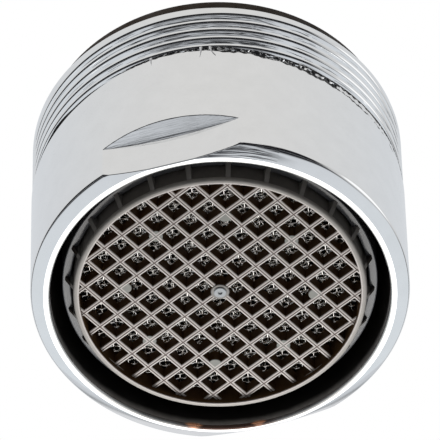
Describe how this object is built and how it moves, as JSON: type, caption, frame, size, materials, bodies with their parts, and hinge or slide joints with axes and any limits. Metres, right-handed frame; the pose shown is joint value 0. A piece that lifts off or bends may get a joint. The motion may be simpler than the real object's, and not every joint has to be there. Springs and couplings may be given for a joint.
{
  "type": "tap aerator",
  "caption": "Short round chromed sleeve with a male thread and rubber washer above, wrench flats and an open lip below, holding a plastic insert that mixes air into tap water behind a lattice.",
  "frame": {"origin": "centre of the outlet lip's end plane, which is the lowest point of the part", "axes": "+Z along the aerator's axis from the outlet lip up to the thread and inlet; the two wrench flats face -Y and +Y"},
  "size_m": [0.028, 0.028, 0.0189],
  "materials": {
    "plated_brass": "bright chrome plate on turned brass, slightly scuffed",
    "washer_rubber": "matt dark brown-black rubber",
    "cage_plastic": "moulded warm grey plastic with a soft sheen",
    "screen_wire": "bright stainless wire",
    "ring_plastic": "moulded grey plastic",
    "plate_plastic": "moulded dark brown plastic",
    "strainer_plastic": "moulded warm grey plastic"
  },
  "bodies": {
    "root": {"housing": "plated_brass", "sealing_washer": "washer_rubber", "insert_cage": "cage_plastic", "lower_screen": "screen_wire", "spacer_ring": "ring_plastic", "upper_screen": "screen_wire", "retaining_ring": "ring_plastic", "jet_plate": "plate_plastic", "inlet_strainer": "strainer_plastic"}
  },
  "joints": []
}
